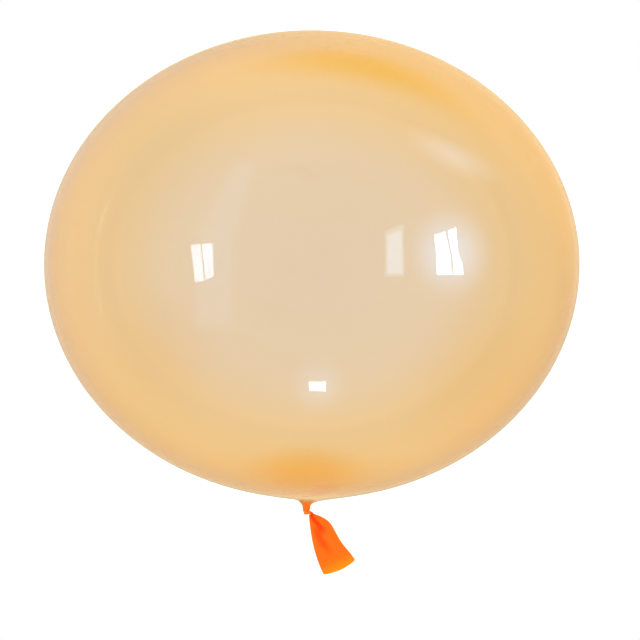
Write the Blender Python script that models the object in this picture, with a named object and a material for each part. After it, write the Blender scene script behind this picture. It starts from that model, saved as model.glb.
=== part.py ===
"""A round stretch-film balloon, tied in its own neck and lying on its side.

One skin of film makes the whole piece: a bubble wider than it is long, a neck gathered into pleats,
a knot tied in that neck, and the flat cut sleeve below the knot.

The bubble's axis is level and runs along Y, with the crown at +Y and the neck at -Y. The origin is
the middle of the small flat spot that it rests on.
"""

import math

import bmesh
import bpy
from mathutils import Vector

# Bubble
BALLOON_WIDTH = 0.560
BALLOON_LENGTH = 0.490
REST_SPOT_WIDTH = 0.066

# Neck, gathered from the bubble down to the knot
NECK_LENGTH = 0.0140
NECK_DIAMETER = 0.0060
NECK_LEAN = 0.0058
LEAN_DIAMETER = 0.0380
NECK_FLARE = 0.0024
GATHER_DIAMETER = 0.1460
PLEAT_COUNT = 8
PLEAT_DEPTH = 0.00035
WRINKLE_PITCH = 0.0034
WRINKLE_DEPTH = 0.0002

# Knot: a band of film once around the neck, and the bight where the sleeve is pulled through it
KNOT_WIDTH = 0.0088
KNOT_HEIGHT = 0.0030
KNOT_SHIFT = 0.0014
KNOT_TILT = math.radians(7.0)
BIGHT_DIAMETER = 0.0028

# Tail: the flat sleeve below the knot, cut off square
TAIL_LENGTH = 0.0648
TAIL_WIDTH = 0.0366
TAIL_WAIST_WIDTH = 0.0290
TAIL_ROOT_DIAMETER = 0.0038
TAIL_ROOT_SHIFT = 0.0029
TAIL_LEAN = math.radians(28.4)
TAIL_DROOP = math.radians(7.0)
TAIL_PUFF = 0.0062
TAIL_LIP = 0.0026
CUT_BULGE = 0.0030
CUT_SLANT = 0.0024
FOLD_COUNT = 2
FOLD_DEPTH = 0.0014
FOLD_OFFSET = 0.14
MOUTH_DEPTH = 0.0120
FILM_WALL = 0.0005

# Fineness of the skin
SIDES = 56
CROWN_RINGS = 14
SHOULDER_RINGS = 13
NECK_RINGS = 29
TAIL_RINGS = 16
MOUTH_RINGS = 4
KNOT_RINGS = 7
STRAND_SIDES = 12
BIGHT_STEPS = 8

# Shares of the tail's length and of its film's puff, as seen on a knotted sleeve
SHOULDER_AT = 0.35
FLARE_FROM = 0.57
PUFF_AT = 0.16
LEFT_EDGE_POWER = 1.8
FOLD_RISE = 0.22
FOLD_LEFT_AT_CUT = 0.25
BIGHT_END_SHARE = 0.6

FILM_COLOUR = (0.90, 0.55, 0.24, 1.0)
FILM_ROUGHNESS = 0.06
SMOOTH_ANGLE = math.radians(50.0)

half_width = BALLOON_WIDTH / 2
half_length = BALLOON_LENGTH / 2
rest_spot_depth = half_width - math.sqrt(half_width ** 2 - (REST_SPOT_WIDTH / 2) ** 2)
axis_height = half_width - rest_spot_depth

neck_end = half_length + NECK_LENGTH
neck_foot = Vector((-NECK_LEAN, -neck_end, axis_height))
knot_centre = neck_foot + Vector((KNOT_SHIFT, -KNOT_HEIGHT / 2, 0.0))
tail_root = knot_centre + Vector((TAIL_ROOT_SHIFT, -KNOT_HEIGHT / 2, 0.0))

across = Vector((math.cos(TAIL_LEAN), math.sin(TAIL_LEAN), 0.0))
level_run = Vector((math.sin(TAIL_LEAN), -math.cos(TAIL_LEAN), 0.0))
down_tail = level_run * math.cos(TAIL_DROOP) - Vector((0.0, 0.0, math.sin(TAIL_DROOP)))
off_tail = down_tail.cross(across)


def ease(x):
    """A smooth step from 0 to 1."""
    x = min(max(x, 0.0), 1.0)
    return x * x * (3.0 - 2.0 * x)


def turn(index, count=SIDES):
    """The angle of one point of a ring."""
    return 2.0 * math.pi * index / count


def spread(start, end, count):
    """Even steps from start to end, with both of them."""
    return [start + (end - start) * i / (count - 1) for i in range(count)]


def pleat(radius, angle):
    """How far the gathered film stands out, full at the neck and none where the gather starts."""
    gather = GATHER_DIAMETER / 2
    strength = ease((gather - radius) / (gather - NECK_DIAMETER / 2))
    return PLEAT_DEPTH * strength * math.cos(PLEAT_COUNT * angle)


def skin_ring(radius, y, wrinkle=0.0):
    """One round ring of film. Its middle moves over to the neck as it narrows."""
    wide = LEAN_DIAMETER / 2
    lean = NECK_LEAN * ease((wide - radius) / (wide - NECK_DIAMETER / 2))
    ring = []
    for i in range(SIDES):
        angle = turn(i)
        out = radius + wrinkle + pleat(radius, angle)
        ring.append(Vector((out * math.cos(angle) - lean, y, axis_height + out * math.sin(angle))))
    return ring


def bubble_rings():
    """Rings from just off the crown down to where the film starts to gather."""
    widest = math.pi / 2
    gather_from = math.pi - math.asin(GATHER_DIAMETER / BALLOON_WIDTH)
    angles = spread(0.0, widest, CROWN_RINGS)[1:]
    angles += spread(widest, gather_from, SHOULDER_RINGS)[1:]
    return [skin_ring(half_width * math.sin(a), half_length * math.cos(a)) for a in angles]


def neck_rings():
    """The film draws in to the neck in a hollow curve, with level wrinkles above the knot.

    The neck stands away from the bubble's own curve by the logarithm of how far it has drawn in,
    and the wrinkles start two flares along.
    """
    gather = GATHER_DIAMETER / 2
    neck = NECK_DIAMETER / 2
    drawn_in = NECK_LENGTH / NECK_FLARE + 1.0
    rings = []
    for depth in spread(0.0, drawn_in, NECK_RINGS)[1:]:
        left = math.exp(-depth)
        radius = neck + (gather - neck) * left
        drop = NECK_FLARE * (depth - 1.0 + left)
        on_bubble = half_length * math.cos(math.asin(radius / half_width))
        wrinkle = WRINKLE_DEPTH * math.cos(2.0 * math.pi * drop / WRINKLE_PITCH)
        wrinkle *= ease(drop / NECK_FLARE / 2 - 1.0)
        rings.append(skin_ring(radius, -(on_bubble + drop), wrinkle))
    return rings


def round_ring(centre, first, second, radius, count=SIDES):
    """A round ring around centre, in the plane of two unit vectors."""
    return [centre + radius * (first * math.cos(turn(i, count)) + second * math.sin(turn(i, count)))
            for i in range(count)]


def tail_ring(run, wall=0.0):
    """One ring of the sleeve, a share of its length from the knot; wall is taken off for its inside."""
    root = TAIL_ROOT_DIAMETER / 2
    end = TAIL_WIDTH / 2
    waist = TAIL_WAIST_WIDTH / 2
    left = root + (end - root) * (1.0 - (1.0 - run) ** LEFT_EDGE_POWER)
    right = root + (waist - root) * (1.0 - (1.0 - min(run / SHOULDER_AT, 1.0)) ** 2)
    right += (end - waist) * ease((run - FLARE_FROM) / (1.0 - FLARE_FROM))
    middle = (right - left) / 2
    reach = (right + left) / 2 - wall

    puffed = root + (TAIL_PUFF / 2 - root) * ease(run / PUFF_AT)
    thick = puffed + (TAIL_LIP / 2 - puffed) * ease((run - PUFF_AT) / (1.0 - PUFF_AT)) - wall
    fold = FOLD_DEPTH * ease(run / FOLD_RISE) * (1.0 - (1.0 - FOLD_LEFT_AT_CUT) * run)

    ring = []
    for i in range(SIDES):
        side = math.cos(turn(i))
        wave = fold * math.cos(math.pi * FOLD_COUNT * (side - FOLD_OFFSET)) * (1.0 - side ** 4)
        cut = CUT_BULGE * (1.0 - side ** 2) + CUT_SLANT / 2 * side
        along = TAIL_LENGTH * run + cut * run ** 2
        lift = thick * math.sin(turn(i)) + wave
        ring.append(tail_root + down_tail * along + across * (middle + reach * side) + off_tail * lift)
    return ring


def knot_core_rings():
    """The film packed inside the knot, turning from the neck's line to the tail's."""
    neck = NECK_DIAMETER / 2
    root = TAIL_ROOT_DIAMETER / 2
    rings = []
    for share in (1 / 3, 2 / 3):
        centre = neck_foot.lerp(tail_root, share)
        first = Vector((1.0, 0.0, 0.0)).lerp(across, share).normalized()
        second = Vector((0.0, 0.0, 1.0)).lerp(off_tail, share).normalized()
        rings.append(round_ring(centre, first, second, neck + (root - neck) * share))
    return rings


def tail_rings():
    """The sleeve's outside, from the knot to the cut edge."""
    return [tail_ring(run) for run in spread(0.0, 1.0, TAIL_RINGS)]


def mouth_rings():
    """The sleeve's inside, from the cut edge back to where its two walls meet."""
    inmost = 1.0 - MOUTH_DEPTH / TAIL_LENGTH
    return [tail_ring(run, FILM_WALL) for run in spread(1.0, inmost, MOUTH_RINGS)]


def loft(name, rings, crown=None):
    """A skin through rings of equal count. It starts at a crown point, or with a flat end."""
    mesh = bmesh.new()
    loops = [[mesh.verts.new(point) for point in ring] for ring in rings]
    count = len(rings[0])
    for upper, lower in zip(loops, loops[1:]):
        for i in range(count):
            j = (i + 1) % count
            mesh.faces.new((upper[i], upper[j], lower[j], lower[i]))
    mesh.faces.new(loops[-1])
    if crown is None:
        mesh.faces.new(loops[0])
    else:
        tip = mesh.verts.new(crown)
        for i in range(count):
            mesh.faces.new((tip, loops[0][(i + 1) % count], loops[0][i]))
    bmesh.ops.recalc_face_normals(mesh, faces=mesh.faces)
    data = bpy.data.meshes.new(name)
    mesh.to_mesh(data)
    mesh.free()
    data.shade_smooth()
    data.set_sharp_from_angle(angle=SMOOTH_ANGLE)
    shape = bpy.data.objects.new(name, data)
    bpy.context.scene.collection.objects.link(shape)
    return shape


def knot_band():
    """The film wound once around the neck, a round-edged roll tilted up to the right."""
    down = Vector((math.sin(KNOT_TILT), -math.cos(KNOT_TILT), 0.0))
    right = Vector((math.cos(KNOT_TILT), math.sin(KNOT_TILT), 0.0))
    up = Vector((0.0, 0.0, 1.0))
    edge = KNOT_HEIGHT / 2
    flat = KNOT_WIDTH / 2 - edge
    rings = []
    for angle in spread(0.0, math.pi, KNOT_RINGS):
        radius = flat + edge * math.sin(angle)
        centre = knot_centre - down * (edge * math.cos(angle))
        rings.append(round_ring(centre, right, up, radius, STRAND_SIDES))
    return loft("knot_band", rings)


def knot_bight():
    """The short strand that comes out of the band's right end and goes down into the tail."""
    thick = BIGHT_DIAMETER / 2
    start = knot_centre + Vector((KNOT_WIDTH / 2 - thick, KNOT_HEIGHT / 4, 0.0))
    end = tail_root + down_tail * BIGHT_DIAMETER
    bulge = (across + off_tail) * thick
    rings = []
    for share in spread(0.0, 1.0, BIGHT_STEPS):
        centre = start.lerp(end, share) + bulge * math.sin(math.pi * share)
        along = (end - start) + bulge * (math.pi * math.cos(math.pi * share))
        out = along.cross(off_tail).normalized()
        side = along.cross(out).normalized()
        swell = thick * (BIGHT_END_SHARE + (1.0 - BIGHT_END_SHARE) * math.sin(math.pi * share))
        rings.append(round_ring(centre, out, side, swell, STRAND_SIDES))
    return loft("knot_bight", rings)


def rest_cutter():
    """A block whose top is the plane that the balloon lies on."""
    thick = REST_SPOT_WIDTH / 2
    mesh = bmesh.new()
    bmesh.ops.create_cube(mesh, size=1.0)
    bmesh.ops.scale(mesh, vec=(REST_SPOT_WIDTH * 2, REST_SPOT_WIDTH * 2, thick), verts=mesh.verts)
    bmesh.ops.translate(mesh, vec=(0.0, 0.0, -thick / 2), verts=mesh.verts)
    data = bpy.data.meshes.new("rest_cutter")
    mesh.to_mesh(data)
    mesh.free()
    block = bpy.data.objects.new("rest_cutter", data)
    bpy.context.scene.collection.objects.link(block)
    return block


def combine(body, tool, operation):
    """Joins a guide shape to the body or cuts it away, and hides the guide."""
    step = body.modifiers.new(tool.name, "BOOLEAN")
    step.operation = operation
    step.solver = "EXACT"
    step.object = tool
    tool.hide_render = True
    tool.display_type = "WIRE"


def film_material():
    """Glossy peach film."""
    material = bpy.data.materials.new("peach_stretch_film")
    material.use_nodes = True
    shader = material.node_tree.nodes["Principled BSDF"]
    shader.inputs["Base Color"].default_value = FILM_COLOUR
    shader.inputs["Roughness"].default_value = FILM_ROUGHNESS
    shader.inputs["Metallic"].default_value = 0.0
    return material


def build():
    """The whole balloon, joined and cut flat where it lies."""
    for old in list(bpy.data.objects):
        bpy.data.objects.remove(old)
    rings = bubble_rings() + neck_rings() + knot_core_rings() + tail_rings() + mouth_rings()
    balloon = loft("balloon", rings, crown=Vector((0.0, half_length, axis_height)))
    balloon.data.materials.append(film_material())
    combine(balloon, knot_band(), "UNION")
    combine(balloon, knot_bight(), "UNION")
    combine(balloon, rest_cutter(), "DIFFERENCE")


build()
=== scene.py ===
import math

import bmesh
import bpy
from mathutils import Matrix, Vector


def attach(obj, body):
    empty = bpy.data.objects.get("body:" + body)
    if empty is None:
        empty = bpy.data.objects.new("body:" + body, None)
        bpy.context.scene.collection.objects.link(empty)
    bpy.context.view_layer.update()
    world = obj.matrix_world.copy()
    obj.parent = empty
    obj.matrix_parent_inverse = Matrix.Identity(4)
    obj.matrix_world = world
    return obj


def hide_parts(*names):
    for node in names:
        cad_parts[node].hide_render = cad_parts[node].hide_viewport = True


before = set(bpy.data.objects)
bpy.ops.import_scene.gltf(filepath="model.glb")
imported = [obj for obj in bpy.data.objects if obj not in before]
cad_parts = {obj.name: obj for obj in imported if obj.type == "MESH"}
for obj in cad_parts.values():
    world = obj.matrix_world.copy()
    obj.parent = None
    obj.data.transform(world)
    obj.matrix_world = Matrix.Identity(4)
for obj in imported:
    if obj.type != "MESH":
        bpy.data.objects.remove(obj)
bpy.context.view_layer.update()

# The balloon's own sizes, as in the CAD, in metres
BALLOON_WIDTH = 0.560
BALLOON_LENGTH = 0.490
REST_SPOT_WIDTH = 0.066
NECK_LENGTH = 0.0140
NECK_DIAMETER = 0.0060
NECK_LEAN = 0.0058
LEAN_DIAMETER = 0.0380
NECK_FLARE = 0.0024
GATHER_DIAMETER = 0.1460
WRINKLE_PITCH = 0.0034
WRINKLE_DEPTH = 0.00022
KNOT_WIDTH = 0.0088
KNOT_HEIGHT = 0.0030
KNOT_SHIFT = 0.0014
KNOT_TILT = math.radians(7.0)
BIGHT_DIAMETER = 0.0028
TAIL_LENGTH = 0.0648
TAIL_WIDTH = 0.0366
TAIL_WAIST_WIDTH = 0.0290
TAIL_ROOT_DIAMETER = 0.0038
TAIL_ROOT_SHIFT = 0.0029
TAIL_LEAN = math.radians(28.4)
TAIL_DROOP = math.radians(7.0)
TAIL_PUFF = 0.0062
TAIL_LIP = 0.0026
CUT_BULGE = 0.0030
CUT_SLANT = 0.0024
FOLD_COUNT = 2
FOLD_DEPTH = 0.0014
FOLD_OFFSET = 0.14
SHOULDER_AT = 0.35
FLARE_FROM = 0.57
PUFF_AT = 0.16
LEFT_EDGE_POWER = 1.8
FOLD_RISE = 0.22
FOLD_LEFT_AT_CUT = 0.25
BIGHT_END_SHARE = 0.6

# Finer things that the CAD leaves out: lengths in metres, and counts, shares and turns
BUBBLE_WALL = 0.0008
NECK_WALL = 0.00012
TAIL_WALL = 0.0005
NECK_OVER = 0.00020
NECK_TOP_RADIUS = 0.0130
SKIN_END_RADIUS = 0.0092
PLEAT_HEIGHT = 0.00040
PLEATS = ((8, 0.5, 0.0), (13, 0.35, 0.7), (21, 0.25, 2.1))  # each: how many, share of height, turn
WRINKLE_UNEVEN = 0.5
WRINKLE_WANDER = 900
SLEEVE_CREASE_DEPTH = 0.00028
SLEEVE_CREASE_PACE = 17
SLEEVE_CREASE_SKEW = 5.0
SLEEVE_CREASE_RISE = 0.1
ROLL_CREASE_DEPTH = 0.00012
ROLL_CREASES = 9

# How finely each shape is divided
BUBBLE_SIDES = 192
CROWN_RINGS = 60
SHOULDER_RINGS = 56
NECK_RINGS = 70
TAIL_SIDES = 128
TAIL_RINGS = 90
ROLL_SIDES = 64
ROLL_RINGS = 25
BIGHT_SIDES = 32
BIGHT_RINGS = 24
FLOOR_SIDES = 128
THROAT_SIDES = 48
PANEL_STEPS = 9

half_width = BALLOON_WIDTH / 2
half_length = BALLOON_LENGTH / 2
rest_spot_depth = half_width - math.sqrt(half_width ** 2 - (REST_SPOT_WIDTH / 2) ** 2)
axis_height = half_width - rest_spot_depth
neck_end = half_length + NECK_LENGTH
neck_foot = Vector((-NECK_LEAN, -neck_end, axis_height))
knot_centre = neck_foot + Vector((KNOT_SHIFT, -KNOT_HEIGHT / 2, 0.0))
tail_root = knot_centre + Vector((TAIL_ROOT_SHIFT, -KNOT_HEIGHT / 2, 0.0))
across = Vector((math.cos(TAIL_LEAN), math.sin(TAIL_LEAN), 0.0))
level_run = Vector((math.sin(TAIL_LEAN), -math.cos(TAIL_LEAN), 0.0))
down_tail = level_run * math.cos(TAIL_DROOP) - Vector((0.0, 0.0, math.sin(TAIL_DROOP)))
off_tail = down_tail.cross(across)

# The photograph's frame, in pixels, and the camera that looks straight down
FRAME_WIDTH = 640
FRAME_MIDDLE = 319.5
PIXEL_AT_AXIS = 0.0010523
CAMERA_HEIGHT = 2.5
SENSOR_WIDTH = 36.0
camera_place = Vector((0.0086, -0.0576, axis_height + CAMERA_HEIGHT))

# The picture's settings
LIGHT_BOUNCES = 28
GLOSSY_BOUNCES = 8
DIFFUSE_BOUNCES = 1
BRIGHTEST_BOUNCE = 14.0

# The films' finishes
STRETCHED_FINISH = {
    "Roughness": 0.01,
    "IOR": 1.15,
    "Transmission Weight": 1.0,
    "Coat Weight": 0.25,
    "Coat IOR": 1.5,
    "Coat Roughness": 0.005,
}
UNSTRETCHED_FINISH = {
    "Roughness": 0.12,
    "IOR": 1.05,
    "Transmission Weight": 0.9,
    "Coat Weight": 0.05,
    "Coat IOR": 1.5,
    "Coat Roughness": 0.25,
}
PEACH_ABSORPTION = (0.930, 0.76, 0.415, 1.0)
PEACH_DENSITY = 1000.0

# Soft patches of the films. Each has its centre, its half size each way, the share of that size that
# is solid, its turn and its tint. ALL_OF_IT is a half size that reaches past the balloon.
ALL_OF_IT = 9.0
WHITE = (1.0, 1.0, 1.0, 1.0)
BLACK = (0.0, 0.0, 0.0, 1.0)
# The crown's arc, on one side only, is a painted reflection laid on the film as a yellow tint
CROWN_ARC = ((0.052, 0.0, axis_height + 0.1635), (0.152, ALL_OF_IT, 0.041), 0.1, 0.0)
CROWN_SIDE = ((0.0, 0.30, axis_height), (ALL_OF_IT, 0.30, ALL_OF_IT), 0.7, 0.0)
CROWN_ARC_PAINTED_REFLECTION = (1.0, 0.87, 0.38, 1.0)
BUBBLE_TINTS_AND_PAINTED_REFLECTIONS = (
    # upper left (bluer), left and lower right (deeper peach); the left one is a painted reflection of
    # the room
    ((-0.160, 0.126, axis_height + 0.18), (0.120, 0.120, 0.30), 0.1, 0.0, (0.950, 0.970, 1.0, 1.0)),
    ((-0.142, -0.082, axis_height + 0.22), (0.075, 0.075, 0.30), 0.1, 0.0, (1.0, 0.965, 0.92, 1.0)),
    ((0.170, -0.125, axis_height + 0.16), (0.110, 0.110, 0.30), 0.1, 0.0, (1.0, 0.955, 0.885, 1.0)),
    # above the neck: the wide patch and the deep one in it, which paint the orange tail's reflection,
    # and the film where the neck starts
    ((-0.005, -0.215, axis_height + 0.13), (0.150, 0.050, 0.12), 0.1, 0.0, (1.0, 0.93, 0.73, 1.0)),
    ((-0.0045, -0.213, axis_height + 0.142), (0.078, 0.042, 0.25), 0.1, 0.0, (1.0, 0.76, 0.31, 1.0)),
    ((neck_foot.x + 0.004, -0.250, axis_height + 0.01), (0.030, 0.014, 0.06), 0.1, 0.0,
     (1.0, 0.70, 0.36, 1.0)),
)
SLEEVE_ORANGE = (1.0, 0.395, 0.06, 1.0)
SLEEVE_TINTS_AND_EDGE_SHADE = (
    # the cut, the root, the shoulder, the two folds, and the left and right edges, darkened by painted
    # shade
    ((0.0, 1.05, 0.0), (2.6, 0.27, 1.0), 0.1, 0.0, (1.0, 0.56, 0.05, 1.0)),
    ((0.0, 0.0, 0.0), (1.6, 0.18, 1.0), 0.1, 0.0, (1.0, 0.29, 0.06, 1.0)),
    ((-0.10, 0.31, 0.0), (0.85, 0.13, 1.0), 0.1, 0.0, (1.0, 0.30, 0.05, 1.0)),
    ((-0.12, 0.150, 0.0), (0.20, 0.55, 1.0), 0.3, 1.23, (1.0, 0.215, 0.035, 1.0)),
    ((-0.30, 0.46, 0.0), (0.22, 0.65, 1.0), 0.2, 1.10, (1.0, 0.29, 0.045, 1.0)),
    ((-1.02, 0.5, 0.0), (0.09, 1.5, 1.0), 0.1, 0.0, (0.84, 0.40, 0.12, 1.0)),
    ((1.02, 0.5, 0.0), (0.07, 1.5, 1.0), 0.1, 0.0, (0.84, 0.44, 0.14, 1.0)),
)
NECK_LOWER = ((neck_foot.x, -0.2625, axis_height), (ALL_OF_IT, 0.0158, ALL_OF_IT), 0.80, 0.0)
# A narrow fold on the neck's right side, darkened by painted shade
NECK_FOLD = ((-0.00266, -0.2555, axis_height + 0.003), (0.0006, 0.0050, 0.0040), 0.3, 0.0)
NECK_FOLD_PAINTED_SHADE = (0.66, 0.40, 0.15, 1.0)
NECK_TOP_TINT = (1.0, 0.60, 0.24, 1.0)
NECK_ORANGE = (0.98, 0.33, 0.05, 1.0)
NECK_STREAK = (0.97, 0.46, 0.10, 1.0)
KNOT_ORANGE = (1.0, 0.13, 0.008, 1.0)
KNOT_STREAK = (1.0, 0.26, 0.03, 1.0)
STREAK_STRETCH = (1.0, 0.25, 1.0)
STREAK_SCALE = 900.0
STREAK_DETAIL = 2.0

# The studio's white light, and the dim room that only mirrored rays see. Each light of the room has
# the direction it is in, the leans towards it between which it rises, its colour and the rest's.
WORLD_LIGHT = 1.0
ROOM_ABOVE = ((0.0, 0.0, 1.0), -0.1, 0.55, (1.05, 1.35, 2.1, 1.0), (1.18, 0.95, 0.70, 1.0))
ROOM_BESIDE = ((-0.85, 0.45, 0.0), 0.0, 0.9, (0.14, 0.34, 0.58, 1.0), BLACK)
ROOM_CORNER = ((0.43, 0.43, -0.79), 0.80, 0.99, (0.42, 0.30, 0.02, 1.0), BLACK)

# The floor, its glow dimmed as a painted shadow where the balloon shades it and its glow where it
# doesn't, and its bluish brightening seen only through the film, a painted reflection of the room
FLOOR_RADIUS = 0.44
FLOOR_FEATHER = 0.32
FLOOR_DROP = 0.0008
FLOOR_GLOW = 1.10
FLOOR_GLOW_SHADED = 0.68
FLOOR_ALBEDO = (0.20, 0.20, 0.20, 1.0)
SHADE_STRETCH = (0.93, 1.23, 1.0)
SHADE_FROM = 0.14
SHADE_TO = 0.38
ROUND_AS_BALLOON = (1.0, half_width / half_length, 1.0)
THROUGH_FILM_PAINTED_REFLECTION = (1.115, 1.16, 1.375, 1.0)
THROUGH_FROM = 0.145
THROUGH_TO = 0.245

# The floor as mirrored rays see it: darker close to the balloon as a painted shadow, and further out
# towards the lit side
FLOOR_MIRRORED = (1.10, 0.86, 0.48, 1.0)
FLOOR_MIRRORED_PAINTED_SHADOW = (0.36, 0.30, 0.34, 1.0)
FLOOR_MIRRORED_LIT = (1.25, 0.93, 0.48, 1.0)
CLOSE_REACH = 1.4
LIT_SIDE = (0.7, 0.7, 0.0)
LIT_FROM = 0.05
LIT_TO = 0.38

# How many times a ray was mirrored or went through film, told apart at these counts
MIRRORED = 0.5
THROUGH_FILM = 0.5
INSIDE_BUBBLE = 2.5

# Glowing panels that the film mirrors. Each has its name, its corners in the photograph's pixels (top
# left, top right, low right, low left), its distance from the film in metres, its light and strength,
# and its kind: plain, soft at its edges, or mirrored by the far skin's inside.
DAYLIGHT = (0.60, 0.80, 1.0, 1.0)
BLUE_LIGHT = (0.25, 0.56, 1.0, 1.0)
DEEP_BLUE = (0.10, 0.42, 1.0, 1.0)
STREAK_BLUE = (0.15, 0.45, 1.0, 1.0)
LIGHT_THROUGH_FILM = (0.115, 0.30, 1.0, 1.0)
PANE_LIGHT = 34.0
PANELS = (
    ("window_left_top", ((433.2, 234.9), (444.6, 230.9), (449.2, 251.0), (436.2, 251.0)),
     0.8, DAYLIGHT, PANE_LIGHT, "plain"),
    ("window_left_low", ((436.2, 251.0), (449.2, 251.0), (451.9, 274.4), (436.2, 274.5)),
     0.8, DAYLIGHT, PANE_LIGHT, "plain"),
    ("window_right_top", ((447.4, 230.0), (455.8, 227.2), (458.2, 255.0), (451.9, 255.0)),
     0.8, DAYLIGHT, PANE_LIGHT, "plain"),
    ("window_right_bend", ((451.9, 255.0), (458.2, 255.0), (462.5, 263.5), (452.9, 263.5)),
     0.8, DAYLIGHT, PANE_LIGHT, "plain"),
    ("window_right_low", ((452.9, 263.5), (462.5, 263.5), (463.0, 274.0), (453.8, 274.8)),
     0.8, DAYLIGHT, PANE_LIGHT, "plain"),
    ("window_halo", ((402.0, 201.0), (495.0, 197.0), (500.0, 306.0), (402.0, 304.0)),
     0.8, DEEP_BLUE, 17.0, "soft"),
    ("far_window_edge", ((384.6, 231.0), (403.2, 222.6), (404.2, 276.0), (384.4, 276.2)),
     1.2, BLUE_LIGHT, 5.5, "plain"),
    ("far_window", ((387.0, 235.0), (401.2, 228.5), (402.4, 273.0), (387.0, 273.2)),
     1.2, BLUE_LIGHT, 7.5, "plain"),
    ("small_lamp", ((309.0, 381.4), (325.2, 381.4), (325.2, 390.6), (309.0, 390.6)),
     1.2, DAYLIGHT, PANE_LIGHT, "plain"),
    ("small_lamp_halo", ((284.0, 352.0), (352.0, 352.0), (352.0, 418.0), (284.0, 418.0)),
     1.2, DEEP_BLUE, 6.5, "soft"),
    ("high_streak", ((406.0, 111.2), (513.0, 165.6), (496.0, 198.8), (389.0, 144.4)),
     1.2, STREAK_BLUE, 6.4, "soft"),
    ("inner_window_left", ((190.2, 244.1), (199.6, 243.5), (203.2, 280.6), (194.2, 282.2)),
     1.3, LIGHT_THROUGH_FILM, 120.0, "inside"),
    ("inner_window_right", ((201.1, 243.5), (212.0, 242.9), (213.1, 275.4), (204.9, 279.8)),
     1.3, LIGHT_THROUGH_FILM, 120.0, "inside"),
)

# A pale band of wall, in two lengths that meet at a bend. Three copies, each grown by so many pixels
# or shrunk, make its edges soft.
BAND_TOP = ((235.0, 165.0), (253.0, 165.0))
BAND_BEND = ((199.0, 236.0), (232.0, 236.0))
BAND_FOOT = ((196.0, 325.0), (230.0, 325.0))
BAND_GROWTH = (("wide", 4.0), ("middle", 1.0), ("narrow", -2.0))
BAND_REACH = 1.2
BAND_LIGHT = 0.87

# The disc that closes the bubble's open throat to mirrored rays
THROAT_GLOW = (0.85, 0.62, 0.30, 1.0)
THROAT_Y = -0.2495
THROAT_LEAN = 0.7


def ease(x):
    """A smooth step from 0 to 1."""
    x = min(max(x, 0.0), 1.0)
    return x * x * (3.0 - 2.0 * x)


def spread(start, end, count):
    """Even steps from start to end, with both of them."""
    return [start + (end - start) * i / (count - 1) for i in range(count)]


def turn(index, count):
    """The angle of one point of a ring."""
    return 2.0 * math.pi * index / count


# Shapes

def pleat(radius, angle):
    """Fine pleats of the gathered film, of uneven height, fading out over the bubble."""
    gather = GATHER_DIAMETER / 2
    strength = ease((gather - radius) / (gather - NECK_DIAMETER / 2))
    wave = sum(height * math.cos(count * angle + shift) for count, height, shift in PLEATS)
    return PLEAT_HEIGHT * strength ** 3 * wave


def skin_ring(radius, y, wrinkle=0.0):
    """One round ring of film. Its middle moves over to the neck as it narrows."""
    wide = LEAN_DIAMETER / 2
    lean = NECK_LEAN * ease((wide - radius) / (wide - NECK_DIAMETER / 2))
    ring = []
    for i in range(BUBBLE_SIDES):
        angle = turn(i, BUBBLE_SIDES)
        uneven = 1.0 + WRINKLE_UNEVEN * math.sin(angle * 2 + y * WRINKLE_WANDER)
        out = radius + wrinkle * uneven + pleat(radius, angle)
        height = max(axis_height + out * math.sin(angle), 0.0)
        ring.append(Vector((out * math.cos(angle) - lean, y, height)))
    return ring


def bubble_rings():
    """Rings from just off the crown down to where the film starts to gather."""
    widest = math.pi / 2
    gather_from = math.pi - math.asin(GATHER_DIAMETER / BALLOON_WIDTH)
    angles = spread(0.0, widest, CROWN_RINGS)[1:]
    angles += spread(widest, gather_from, SHOULDER_RINGS)[1:]
    return [skin_ring(half_width * math.sin(a), half_length * math.cos(a)) for a in angles]


def draw_in(depth):
    """The film drawn in so deep: its radius, its drop off the bubble's round, and its reach to -y."""
    neck = NECK_DIAMETER / 2
    left = math.exp(-depth)
    radius = neck + (GATHER_DIAMETER / 2 - neck) * left
    drop = NECK_FLARE * (depth - 1.0 + left)
    on_bubble = half_length * math.cos(math.asin(radius / half_width))
    return radius, drop, on_bubble + drop


def neck_rings():
    """The stretched film draws in to the neck in a hollow curve."""
    rings = []
    for depth in spread(0.0, NECK_LENGTH / NECK_FLARE + 1.0, NECK_RINGS)[1:]:
        radius, _, reach = draw_in(depth)
        if radius < SKIN_END_RADIUS:
            break
        rings.append(skin_ring(radius, -reach))
    return rings


def gathered_neck_rings():
    """The unstretched neck, from its flare on the bubble's film to the knot, with level wrinkles."""
    neck = NECK_DIAMETER / 2
    start = -math.log((NECK_TOP_RADIUS - neck) / (GATHER_DIAMETER / 2 - neck))
    rings = []
    for depth in spread(start, NECK_LENGTH / NECK_FLARE + 1.0, NECK_RINGS):
        radius, drop, reach = draw_in(depth)
        wrinkle = WRINKLE_DEPTH * math.cos(2.0 * math.pi * drop / WRINKLE_PITCH)
        wrinkle *= ease(drop / NECK_FLARE / 2 - 1.0)
        rings.append(skin_ring(radius, -(reach + NECK_OVER), wrinkle + NECK_OVER))
    return rings


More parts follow.
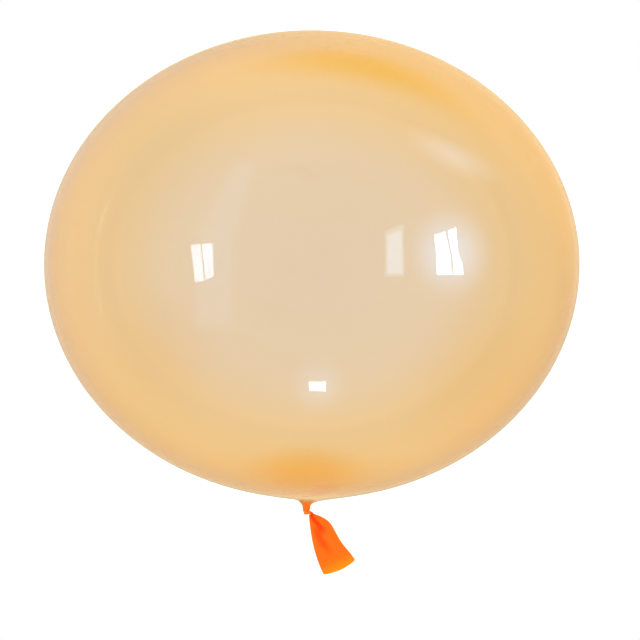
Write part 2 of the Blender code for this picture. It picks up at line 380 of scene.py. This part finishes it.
def tail_ring(run):
    """One ring of the sleeve, a share of its length from the knot."""
    root = TAIL_ROOT_DIAMETER / 2
    end = TAIL_WIDTH / 2
    waist = TAIL_WAIST_WIDTH / 2
    left = root + (end - root) * (1.0 - (1.0 - run) ** LEFT_EDGE_POWER)
    right = root + (waist - root) * (1.0 - (1.0 - min(run / SHOULDER_AT, 1.0)) ** 2)
    right += (end - waist) * ease((run - FLARE_FROM) / (1.0 - FLARE_FROM))
    middle = (right - left) / 2
    reach = (right + left) / 2
    puffed = root + (TAIL_PUFF / 2 - root) * ease(run / PUFF_AT)
    thick = puffed + (TAIL_LIP / 2 - puffed) * ease((run - PUFF_AT) / (1.0 - PUFF_AT))
    fold = FOLD_DEPTH * ease(run / FOLD_RISE) * (1.0 - (1.0 - FOLD_LEFT_AT_CUT) * run)
    ring = []
    for i in range(TAIL_SIDES):
        side = math.cos(turn(i, TAIL_SIDES))
        wave = fold * math.cos(math.pi * FOLD_COUNT * (side - FOLD_OFFSET)) * (1.0 - side ** 4)
        crease = SLEEVE_CREASE_DEPTH * math.sin(side * SLEEVE_CREASE_PACE + run * SLEEVE_CREASE_SKEW)
        crease = crease * ease(run / SLEEVE_CREASE_RISE) * (1.0 - run) * (1.0 - side ** 2)
        cut = CUT_BULGE * (1.0 - side ** 2) + CUT_SLANT / 2 * side
        along = TAIL_LENGTH * run + cut * run ** 2
        lift = thick * math.sin(turn(i, TAIL_SIDES)) + wave + crease
        spot = tail_root + down_tail * along + across * (middle + reach * side) + off_tail * lift
        ring.append(spot)
    return ring


def round_ring(centre, first, second, radius, count):
    """A round ring around centre, in the plane of two unit vectors."""
    ring = []
    for i in range(count):
        angle = turn(i, count)
        ring.append(centre + radius * (first * math.cos(angle) + second * math.sin(angle)))
    return ring


def add_shape(name, mesh):
    """Turns a finished bmesh into an object of the scene."""
    data = bpy.data.meshes.new(name)
    mesh.to_mesh(data)
    mesh.free()
    shape = bpy.data.objects.new(name, data)
    bpy.context.scene.collection.objects.link(shape)
    return shape


def loft(name, rings, crown=None, closed=False):
    """A skin through rings of equal count, from a crown point or open; closed caps both ends."""
    mesh = bmesh.new()
    loops = [[mesh.verts.new(point) for point in ring] for ring in rings]
    count = len(rings[0])
    for upper, lower in zip(loops, loops[1:]):
        for i in range(count):
            j = (i + 1) % count
            mesh.faces.new((upper[i], upper[j], lower[j], lower[i]))
    if crown is not None:
        tip = mesh.verts.new(crown)
        for i in range(count):
            mesh.faces.new((tip, loops[0][(i + 1) % count], loops[0][i]))
    if closed:
        mesh.faces.new(loops[0])
        mesh.faces.new(loops[-1])
    bmesh.ops.recalc_face_normals(mesh, faces=mesh.faces)
    shape = add_shape(name, mesh)
    shape.data.shade_smooth()
    return shape


def disc(name, radius, sides):
    """A flat round sheet, for the stage."""
    mesh = bmesh.new()
    bmesh.ops.create_circle(mesh, cap_ends=True, radius=radius, segments=sides)
    return add_shape(name, mesh)


def give_wall(shape, wall):
    """Makes an open skin into film of a real thickness, on its inside."""
    step = shape.modifiers.new("wall", "SOLIDIFY")
    step.thickness = wall
    step.offset = -1.0
    step.use_even_offset = True
    step.use_rim = True


def knot_roll():
    """The film wound once around the neck, a round-edged roll tilted up to the right."""
    down = Vector((math.sin(KNOT_TILT), -math.cos(KNOT_TILT), 0.0))
    right = Vector((math.cos(KNOT_TILT), math.sin(KNOT_TILT), 0.0))
    up = Vector((0.0, 0.0, 1.0))
    edge = KNOT_HEIGHT / 2
    flat = KNOT_WIDTH / 2 - edge
    rings = []
    for angle in spread(0.0, math.pi, ROLL_RINGS):
        centre = knot_centre - down * (edge * math.cos(angle))
        ring = []
        for i in range(ROLL_SIDES):
            around = turn(i, ROLL_SIDES)
            crease = ROLL_CREASE_DEPTH * math.sin(ROLL_CREASES * around + 2 * angle) * math.sin(angle)
            radius = flat + edge * math.sin(angle) + crease
            ring.append(centre + radius * (right * math.cos(around) + up * math.sin(around)))
        rings.append(ring)
    return loft("knot_roll", rings, closed=True)


def knot_bight():
    """The short strand that comes out of the roll's right end and goes down into the tail."""
    thick = BIGHT_DIAMETER / 2
    start = knot_centre + Vector((KNOT_WIDTH / 2 - thick, KNOT_HEIGHT / 4, 0.0))
    end = tail_root + down_tail * BIGHT_DIAMETER
    bulge = (across + off_tail) * thick
    rings = []
    for share in spread(0.0, 1.0, BIGHT_RINGS):
        centre = start.lerp(end, share) + bulge * math.sin(math.pi * share)
        along = (end - start) + bulge * (math.pi * math.cos(math.pi * share))
        out = along.cross(off_tail).normalized()
        side = along.cross(out).normalized()
        swell = thick * (BIGHT_END_SHARE + (1.0 - BIGHT_END_SHARE) * math.sin(math.pi * share))
        rings.append(round_ring(centre, out, side, swell, BIGHT_SIDES))
    return loft("knot_bight", rings, closed=True)


def chart_sleeve(tail):
    """Gives the sleeve's mesh its chart: across from -1 to 1, and along from 0 to 1."""
    chart = tail.data.uv_layers.new(name="chart")
    for loop in tail.data.loops:
        ring, spot = divmod(loop.vertex_index, TAIL_SIDES)
        chart.data[loop.index].uv = (math.cos(turn(spot, TAIL_SIDES)), ring / (TAIL_RINGS - 1))


# Steps of a material

def feed(tree, socket, value):
    """Links an output to a socket, or sets the socket to a plain value."""
    if isinstance(value, bpy.types.NodeSocket):
        tree.links.new(value, socket)
    else:
        socket.default_value = value


def on_vector(tree, operation, first, second=None):
    """One step of reckoning with vectors."""
    node = tree.nodes.new("ShaderNodeVectorMath")
    node.operation = operation
    feed(tree, node.inputs[0], first)
    if second is not None:
        feed(tree, node.inputs[1], second)
    return node.outputs["Value" if operation in ("LENGTH", "DOT_PRODUCT") else "Vector"]


def on_number(tree, operation, first, second):
    """One step of reckoning with numbers."""
    node = tree.nodes.new("ShaderNodeMath")
    node.operation = operation
    feed(tree, node.inputs[0], first)
    feed(tree, node.inputs[1], second)
    return node.outputs["Value"]


def soft_step(tree, value, low, high, at_low=0.0, at_high=1.0):
    """A smooth step of a number, from one level at low to another at high."""
    node = tree.nodes.new("ShaderNodeMapRange")
    node.interpolation_type = "SMOOTHSTEP"
    feed(tree, node.inputs["Value"], value)
    feed(tree, node.inputs["From Min"], low)
    feed(tree, node.inputs["From Max"], high)
    feed(tree, node.inputs["To Min"], at_low)
    feed(tree, node.inputs["To Max"], at_high)
    return node.outputs["Result"]


def mix_colour(tree, mask, first, second):
    """Mixes a colour with another by a mask."""
    node = tree.nodes.new("ShaderNodeMix")
    node.data_type = "RGBA"
    feed(tree, node.inputs["Factor"], mask)
    for value, name in ((first, "A"), (second, "B")):
        feed(tree, [i for i in node.inputs if i.name == name and i.type == "RGBA"][0], value)
    return [o for o in node.outputs if o.type == "RGBA"][0]


def ray_count(tree, kind, operation, limit):
    """1 for a ray whose count of one kind of step is past a limit, or short of it, else 0."""
    path = tree.nodes.new("ShaderNodeLightPath")
    return on_number(tree, operation, path.outputs[kind], limit)


def emission(tree, colour, strength=1.0):
    """Light that a surface gives off."""
    node = tree.nodes.new("ShaderNodeEmission")
    feed(tree, node.inputs["Color"], colour)
    feed(tree, node.inputs["Strength"], strength)
    return node.outputs[0]


def join(tree, kind, first, second):
    """Adds or mixes two shaders, which go into the last two inputs of the node that it gives."""
    node = tree.nodes.new(kind)
    tree.links.new(first, node.inputs[-2])
    tree.links.new(second, node.inputs[-1])
    return node


def bare_material(name):
    """A material with nothing in it but its output, and that output's socket for a surface."""
    material = bpy.data.materials.new(name)
    material.use_nodes = True
    tree = material.node_tree
    tree.nodes.clear()
    return material, tree, tree.nodes.new("ShaderNodeOutputMaterial").inputs["Surface"]


# The film's materials

def film_group(name, inputs):
    """An empty node group with named inputs and a mask for its output."""
    group = bpy.data.node_groups.new(name, "ShaderNodeTree")
    for label, kind in inputs:
        group.interface.new_socket(label, in_out="INPUT", socket_type=kind)
    group.interface.new_socket("Mask", in_out="OUTPUT", socket_type="NodeSocketFloat")
    given = group.nodes.new("NodeGroupInput").outputs
    return group, given, group.nodes.new("NodeGroupOutput").inputs["Mask"]


def zones_group():
    """A mask round a place on the film: 1 in the middle and 0 outside, in a turned oval."""
    group, given, mask = film_group("film_zones", (
        ("Position", "NodeSocketVector"),
        ("Centre", "NodeSocketVector"),
        ("Stretch", "NodeSocketVector"),
        ("Inner", "NodeSocketFloat"),
        ("Turn", "NodeSocketFloat"),
    ))
    away = on_vector(group, "SUBTRACT", given["Position"], given["Centre"])
    turned = group.nodes.new("ShaderNodeVectorRotate")
    turned.rotation_type = "Z_AXIS"
    feed(group, turned.inputs["Vector"], away)
    feed(group, turned.inputs["Angle"], given["Turn"])
    scaled = on_vector(group, "MULTIPLY", turned.outputs["Vector"], given["Stretch"])
    length = on_vector(group, "LENGTH", scaled)
    feed(group, mask, soft_step(group, length, given["Inner"], 1.0, 1.0, 0.0))
    return group


def pleats_group():
    """Fine streaks along the neck, from 0 to 1, where the film is drawn together."""
    group, given, mask = film_group("film_pleats", (
        ("Position", "NodeSocketVector"),
        ("Stretch", "NodeSocketVector"),
        ("Scale", "NodeSocketFloat"),
    ))
    squeezed = on_vector(group, "MULTIPLY", given["Position"], given["Stretch"])
    grain = group.nodes.new("ShaderNodeTexNoise")
    grain.inputs["Detail"].default_value = STREAK_DETAIL
    feed(group, grain.inputs["Vector"], squeezed)
    feed(group, grain.inputs["Scale"], given["Scale"])
    feed(group, mask, grain.outputs["Fac"])
    return group


def place_group(tree, group, values):
    """Puts a node group in a material with its own values, and gives its mask."""
    node = tree.nodes.new("ShaderNodeGroup")
    node.node_tree = group
    for name, value in values.items():
        feed(tree, node.inputs[name], value)
    return node.outputs["Mask"]


def zone(tree, zones, place, centre, size, inner, angle):
    """A soft patch round a place, of a half size in each direction; solid up to the inner share."""
    stretch = [1.0 / s for s in size]
    return place_group(tree, zones, {
        "Position": place, "Centre": centre, "Stretch": stretch, "Inner": inner, "Turn": angle})


def tinted(tree, zones, place, colour, patches):
    """A colour with soft patches of other tints laid over it in turn."""
    for centre, size, inner, angle, tint in patches:
        colour = mix_colour(tree, zone(tree, zones, place, centre, size, inner, angle), colour, tint)
    return colour


def streaked(tree, pleats, place, colour, streak):
    """A colour with streaks of another along the pleats."""
    mask = place_group(tree, pleats, {
        "Position": place, "Stretch": STREAK_STRETCH, "Scale": STREAK_SCALE})
    return mix_colour(tree, mask, colour, streak)


def new_film(name, finish, chart="Object"):
    """A film of a finish. Gives its material and node tree, places on it, and its colour's socket."""
    material = bpy.data.materials.new(name)
    material.use_nodes = True
    tree = material.node_tree
    shader = tree.nodes["Principled BSDF"]
    for socket, value in finish.items():
        shader.inputs[socket].default_value = value
    place = tree.nodes.new("ShaderNodeTexCoord").outputs[chart]
    return material, tree, place, shader.inputs["Base Color"]


def bubble_film(zones):
    """Stretched film: clear, glossy, pale peach, deeper where less stretched near the neck, with
    painted reflections among its tints.
    """
    material, tree, place, base_colour = new_film("bubble_film", STRETCHED_FINISH)
    # Painted reflection: the yellow arc at the crown
    arc = zone(tree, zones, place, *CROWN_ARC)
    crown = on_number(tree, "MULTIPLY", arc, zone(tree, zones, place, *CROWN_SIDE))
    colour = mix_colour(tree, crown, WHITE, CROWN_ARC_PAINTED_REFLECTION)
    feed(tree, base_colour, tinted(tree, zones, place, colour, BUBBLE_TINTS_AND_PAINTED_REFLECTIONS))
    absorb = tree.nodes.new("ShaderNodeVolumeAbsorption")
    absorb.inputs["Color"].default_value = PEACH_ABSORPTION
    absorb.inputs["Density"].default_value = PEACH_DENSITY
    feed(tree, tree.nodes["Material Output"].inputs["Volume"], absorb.outputs["Volume"])
    return material


def sleeve_film(zones):
    """The sleeve's deep orange film, redder along its folds, yellower at the cut, and darkened at its
    two edges by painted shade.

    Its chart runs across the sleeve from -1 to 1 and along it from 0 at the knot to 1 at the cut.
    """
    material, tree, place, base_colour = new_film("sleeve_film", UNSTRETCHED_FINISH, chart="UV")
    feed(tree, base_colour, tinted(tree, zones, place, SLEEVE_ORANGE, SLEEVE_TINTS_AND_EDGE_SHADE))
    return material


def neck_film(zones, pleats):
    """The neck's film: pale where it leaves the bubble, with painted shade along one fold down its
    right side.
    """
    material, tree, place, base_colour = new_film("neck_film", UNSTRETCHED_FINISH)
    colour = streaked(tree, pleats, place, NECK_ORANGE, NECK_STREAK)
    colour = mix_colour(tree, zone(tree, zones, place, *NECK_LOWER), NECK_TOP_TINT, colour)
    # Painted shade along the fold
    colour = mix_colour(tree, zone(tree, zones, place, *NECK_FOLD), colour, NECK_FOLD_PAINTED_SHADE)
    feed(tree, base_colour, colour)
    return material


def knot_film(pleats):
    """The knot's film, deep red-orange where it is wound on itself."""
    material, tree, place, base_colour = new_film("knot_film", UNSTRETCHED_FINISH)
    feed(tree, base_colour, streaked(tree, pleats, place, KNOT_ORANGE, KNOT_STREAK))
    return material


def pieces():
    """The balloon's pieces, with their films."""
    crown = Vector((0.0, half_length, axis_height))
    bubble = loft("bubble_skin", bubble_rings() + neck_rings(), crown=crown)
    give_wall(bubble, BUBBLE_WALL)
    neck = loft("gathered_neck", gathered_neck_rings())
    give_wall(neck, NECK_WALL)
    tail = loft("tail_sleeve", [tail_ring(run) for run in spread(0.0, 1.0, TAIL_RINGS)])
    chart_sleeve(tail)
    give_wall(tail, TAIL_WALL)
    roll = knot_roll()
    bight = knot_bight()
    zones = zones_group()
    pleats = pleats_group()
    bubble.data.materials.append(bubble_film(zones))
    tail.data.materials.append(sleeve_film(zones))
    neck.data.materials.append(neck_film(zones, pleats))
    knot = knot_film(pleats)
    for shape in (roll, bight):
        shape.data.materials.append(knot)
    for shape in (tail, roll, bight, neck):
        shape.visible_glossy = False
    for shape in (bubble, neck, tail, roll, bight):
        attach(shape, "root")
        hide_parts("balloon")


# The floor, the light and the camera

def floor_paint():
    """Pale matt paint with a glow of its own, dimmed under the balloon as a painted shadow and, seen
    through the film, brightened bluish as a painted reflection of the room. Mirrored rays see the
    room's floor instead, darkened close to the balloon as a painted shadow.
    """
    material, tree, surface = bare_material("pale_floor")
    place = tree.nodes.new("ShaderNodeTexCoord").outputs["Object"]

    def outwards(stretch, low, high, at_low, at_high):
        """A smooth step from the floor's middle outwards, in an oval."""
        away = on_vector(tree, "LENGTH", on_vector(tree, "MULTIPLY", place, stretch))
        return soft_step(tree, away, low, high, at_low, at_high)

    mirrored = ray_count(tree, "Glossy Depth", "GREATER_THAN", MIRRORED)
    lit = soft_step(tree, on_vector(tree, "DOT_PRODUCT", place, LIT_SIDE), LIT_FROM, LIT_TO)
    far = mix_colour(tree, lit, FLOOR_MIRRORED, FLOOR_MIRRORED_LIT)
    # Painted shadow on the mirrored floor close to the balloon
    close = outwards(ROUND_AS_BALLOON, half_width, half_width * CLOSE_REACH, 0.0, 1.0)
    in_mirror = mix_colour(tree, close, FLOOR_MIRRORED_PAINTED_SHADOW, far)
    # Painted reflection of the room: the floor brightened bluish where it is seen through the film
    through = ray_count(tree, "Transmission Depth", "GREATER_THAN", THROUGH_FILM)
    under = outwards(ROUND_AS_BALLOON, THROUGH_FROM, THROUGH_TO, 1.0, 0.0)
    tint = mix_colour(tree, on_number(tree, "MULTIPLY", through, under), WHITE, THROUGH_FILM_PAINTED_REFLECTION)
    # Painted shadow of the balloon in the floor's glow
    shade = outwards(SHADE_STRETCH, SHADE_FROM, SHADE_TO, FLOOR_GLOW_SHADED, FLOOR_GLOW)
    glow = emission(tree, mix_colour(tree, mirrored, tint, in_mirror), shade)
    matt = tree.nodes.new("ShaderNodeBsdfDiffuse")
    feed(tree, matt.inputs["Color"], mix_colour(tree, mirrored, FLOOR_ALBEDO, BLACK))
    paint = join(tree, "ShaderNodeAddShader", glow, matt.outputs[0])
    clear = tree.nodes.new("ShaderNodeBsdfTransparent")
    feather = outwards((1.0, 1.0, 1.0), FLOOR_FEATHER, FLOOR_RADIUS, 0.0, 1.0)
    feathered = join(tree, "ShaderNodeMixShader", paint.outputs[0], clear.outputs[0])
    feed(tree, feathered.inputs["Fac"], feather)
    feed(tree, surface, feathered.outputs[0])
    return material


def floor():
    """A round pale floor just under the balloon."""
    plane = disc("floor", FLOOR_RADIUS, FLOOR_SIDES)
    plane.location = (0.0, 0.0, -FLOOR_DROP)
    plane.data.materials.append(floor_paint())


def studio():
    """Even white light all round, with a dim room to be mirrored in the film."""
    world = bpy.data.worlds.new("studio")
    bpy.context.scene.world = world
    world.use_nodes = True
    tree = world.node_tree
    white = tree.nodes["Background"]
    white.inputs["Color"].default_value = (WORLD_LIGHT, WORLD_LIGHT, WORLD_LIGHT, 1.0)
    white.inputs["Strength"].default_value = 1.0
    heading = tree.nodes.new("ShaderNodeTexCoord").outputs["Generated"]

    def room_light(direction, low, high, colour, rest):
        """One light of the room."""
        lean = on_vector(tree, "DOT_PRODUCT", heading, direction)
        light = tree.nodes.new("ShaderNodeBackground")
        tone = mix_colour(tree, soft_step(tree, lean, low, high), rest, colour)
        feed(tree, light.inputs["Color"], tone)
        return light.outputs[0]

    sides = join(tree, "ShaderNodeAddShader", room_light(*ROOM_BESIDE), room_light(*ROOM_CORNER))
    room = join(tree, "ShaderNodeAddShader", room_light(*ROOM_ABOVE), sides.outputs[0])
    light = join(tree, "ShaderNodeMixShader", white.outputs[0], room.outputs[0])
    feed(tree, light.inputs["Fac"], ray_count(tree, "Glossy Depth", "GREATER_THAN", MIRRORED))
    feed(tree, tree.nodes["World Output"].inputs["Surface"], light.outputs[0])


def surface_hit(px, py, inside):
    """Where the photograph's pixel meets the bubble, and how it is mirrored there.

    That is on the near skin, or on the far one from inside.
    """
    aim = Vector((
        (px - FRAME_MIDDLE) * PIXEL_AT_AXIS, -(py - FRAME_MIDDLE) * PIXEL_AT_AXIS, -CAMERA_HEIGHT))
    aim.normalize()
    size = Vector((half_width, half_length, half_width))
    start = camera_place - Vector((0.0, 0.0, axis_height))
    o = Vector([start[i] / size[i] for i in range(3)])
    d = Vector([aim[i] / size[i] for i in range(3)])
    a, b, c = d.dot(d), 2.0 * o.dot(d), o.dot(o) - 1.0
    root = math.sqrt(b * b - 4.0 * a * c)
    t = (-b + (root if inside else -root)) / (2.0 * a)
    hit = start + aim * t
    normal = Vector([hit[i] / size[i] ** 2 for i in range(3)]).normalized()
    mirrored = aim - normal * (2.0 * aim.dot(normal))
    return hit + Vector((0.0, 0.0, axis_height)), mirrored


def panel_glow(name, light, strength, kind):
    """Light added to what is behind it, for rays mirrored by one side of the film."""
    material, tree, surface = bare_material(name)
    side = "GREATER_THAN" if kind == "inside" else "LESS_THAN"
    factors = [
        ray_count(tree, "Transmission Depth", side, INSIDE_BUBBLE),
        ray_count(tree, "Glossy Depth", "GREATER_THAN", MIRRORED),
    ]
    if kind == "soft":
        chart = tree.nodes.new("ShaderNodeTexCoord").outputs["UV"]
        factors.append(soft_step(tree, on_vector(tree, "LENGTH", chart), 0.0, 0.5, 1.0, 0.0))
    level = strength
    for factor in factors:
        level = on_number(tree, "MULTIPLY", factor, level)
    clear = tree.nodes.new("ShaderNodeBsdfTransparent")
    both = join(tree, "ShaderNodeAddShader", emission(tree, light, level), clear.outputs[0])
    feed(tree, surface, both.outputs[0])
    return material


def panel(name, corners, reach, light, strength, kind):
    """A glowing panel that the bubble mirrors at four corners of the photograph, in pixels.

    The outer skin mirrors it, or the far skin's inside does, seen through the near one. A soft panel
    fades out towards its edges. The room shows through it.
    """
    mesh = bmesh.new()
    chart = mesh.loops.layers.uv.new("chart")
    top_left, top_right, low_right, low_left = [Vector(c) for c in corners]
    grid = []
    flat = {}
    for v in spread(0.0, 1.0, PANEL_STEPS):
        row = []
        for u in spread(0.0, 1.0, PANEL_STEPS):
            spot = top_left.lerp(top_right, u).lerp(low_left.lerp(low_right, u), v)
            hit, mirrored = surface_hit(spot.x, spot.y, kind == "inside")
            vert = mesh.verts.new(hit + mirrored * reach)
            flat[vert] = (u - 0.5, v - 0.5)
            row.append(vert)
        grid.append(row)
    for upper, lower in zip(grid, grid[1:]):
        for i in range(PANEL_STEPS - 1):
            face = mesh.faces.new((upper[i], upper[i + 1], lower[i + 1], lower[i]))
            for corner in face.loops:
                corner[chart].uv = flat[corner.vert]
    sheet = add_shape(name, mesh)
    sheet.data.materials.append(panel_glow(name, light, strength, kind))
    sheet.visible_camera = False
    sheet.visible_diffuse = False
    sheet.visible_shadow = False


def wall_band(name, grow):
    """One copy of the pale band of wall, grown sideways and at its two ends."""
    def widened(ends, down=0.0):
        (left, left_y), (right, right_y) = ends
        return (left - grow, left_y + down), (right + grow, right_y + down)

    top_left, top_right = widened(BAND_TOP, -grow)
    bend_left, bend_right = widened(BAND_BEND)
    foot_left, foot_right = widened(BAND_FOOT, grow)
    high = (top_left, top_right, bend_right, bend_left)
    low = (bend_left, bend_right, foot_right, foot_left)
    panel("wall_band_high_" + name, high, BAND_REACH, DEEP_BLUE, BAND_LIGHT, "plain")
    panel("wall_band_low_" + name, low, BAND_REACH, DEEP_BLUE, BAND_LIGHT, "plain")


def lamps():
    """The panes and soft lights of the room that the film mirrors."""
    for name, corners, reach, light, strength, kind in PANELS:
        panel(name, corners, reach, light, strength, kind)
    for name, grow in BAND_GROWTH:
        wall_band(name, grow)


def throat_shade():
    """Keeps the open throat of the neck from being mirrored as a bright fleck."""
    shade = disc("throat_shade", SKIN_END_RADIUS + NECK_OVER, THROAT_SIDES)
    shade.rotation_euler = (math.pi / 2, 0.0, 0.0)
    shade.location = (neck_foot.x * THROAT_LEAN, THROAT_Y, axis_height)
    material, tree, surface = bare_material("throat_shade")
    feed(tree, surface, emission(tree, THROAT_GLOW))
    shade.data.materials.append(material)
    shade.visible_camera = False
    shade.visible_diffuse = False
    shade.visible_transmission = False
    shade.visible_shadow = False


def camera():
    """The camera, with a lens that gives the photograph's frame."""
    data = bpy.data.cameras.new("camera")
    data.sensor_width = SENSOR_WIDTH
    half_tangent = PIXEL_AT_AXIS * FRAME_WIDTH / 2 / CAMERA_HEIGHT
    data.lens = SENSOR_WIDTH / 2 / half_tangent
    eye = bpy.data.objects.new("camera", data)
    eye.location = camera_place
    bpy.context.scene.collection.objects.link(eye)
    bpy.context.scene.camera = eye


def picture_settings():
    """True colours, enough bounces for light to cross the film, and no fireflies."""
    scene = bpy.context.scene
    scene.view_settings.view_transform = "Standard"
    scene.cycles.max_bounces = LIGHT_BOUNCES
    scene.cycles.transmission_bounces = LIGHT_BOUNCES
    scene.cycles.glossy_bounces = GLOSSY_BOUNCES
    scene.cycles.diffuse_bounces = DIFFUSE_BOUNCES
    scene.cycles.use_denoising = True
    scene.cycles.sample_clamp_indirect = BRIGHTEST_BOUNCE


pieces()
floor()
studio()
lamps()
throat_shade()
camera()
picture_settings()
